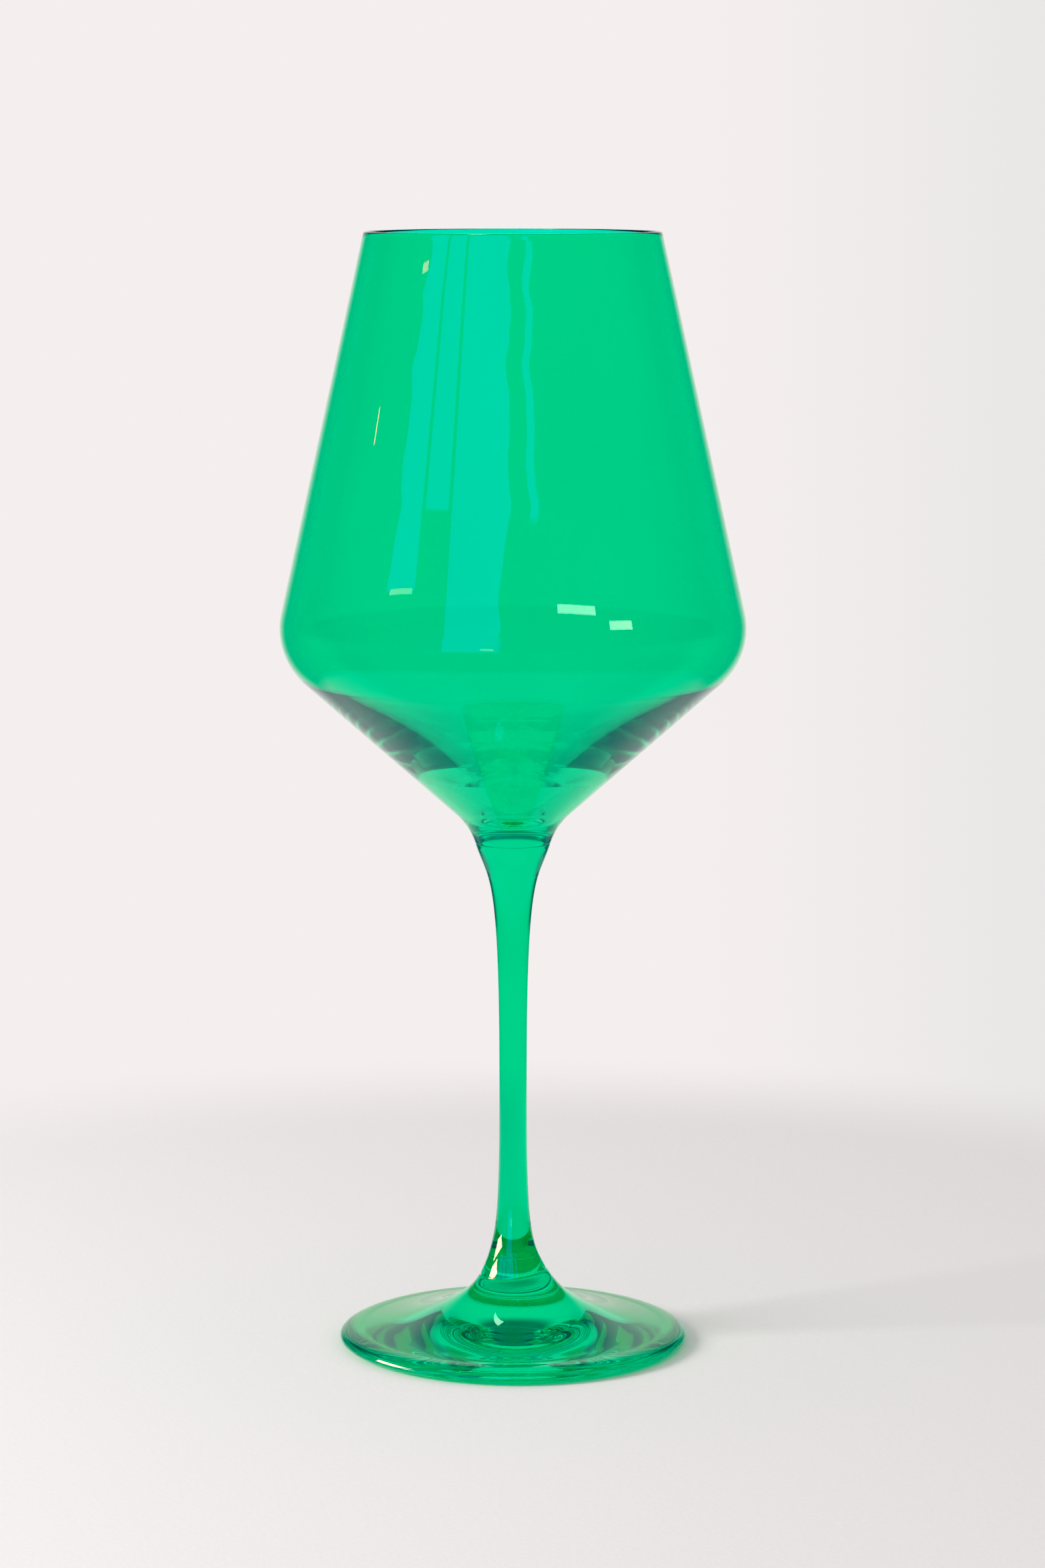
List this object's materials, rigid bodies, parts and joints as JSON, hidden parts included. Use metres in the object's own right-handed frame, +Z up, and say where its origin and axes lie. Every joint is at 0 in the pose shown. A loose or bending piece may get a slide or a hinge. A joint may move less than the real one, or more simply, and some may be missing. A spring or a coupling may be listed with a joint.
{
  "type": "wine glass",
  "caption": "Stemmed wine glass in clear green glass: tall tapering bowl with a low belly, slim drawn stem and a thin round foot that it stands on.",
  "frame": {"origin": "centre of the plane that the foot rests on", "axes": "+Z up, along the stem; the glass is round about it"},
  "size_m": [0.097, 0.097, 0.2338],
  "materials": {
    "green_glass": "transparent emerald green soda glass, fire-polished, very glossy"
  },
  "bodies": {
    "root": {"bowl": "green_glass", "stem": "green_glass", "foot": "green_glass"}
  },
  "joints": []
}
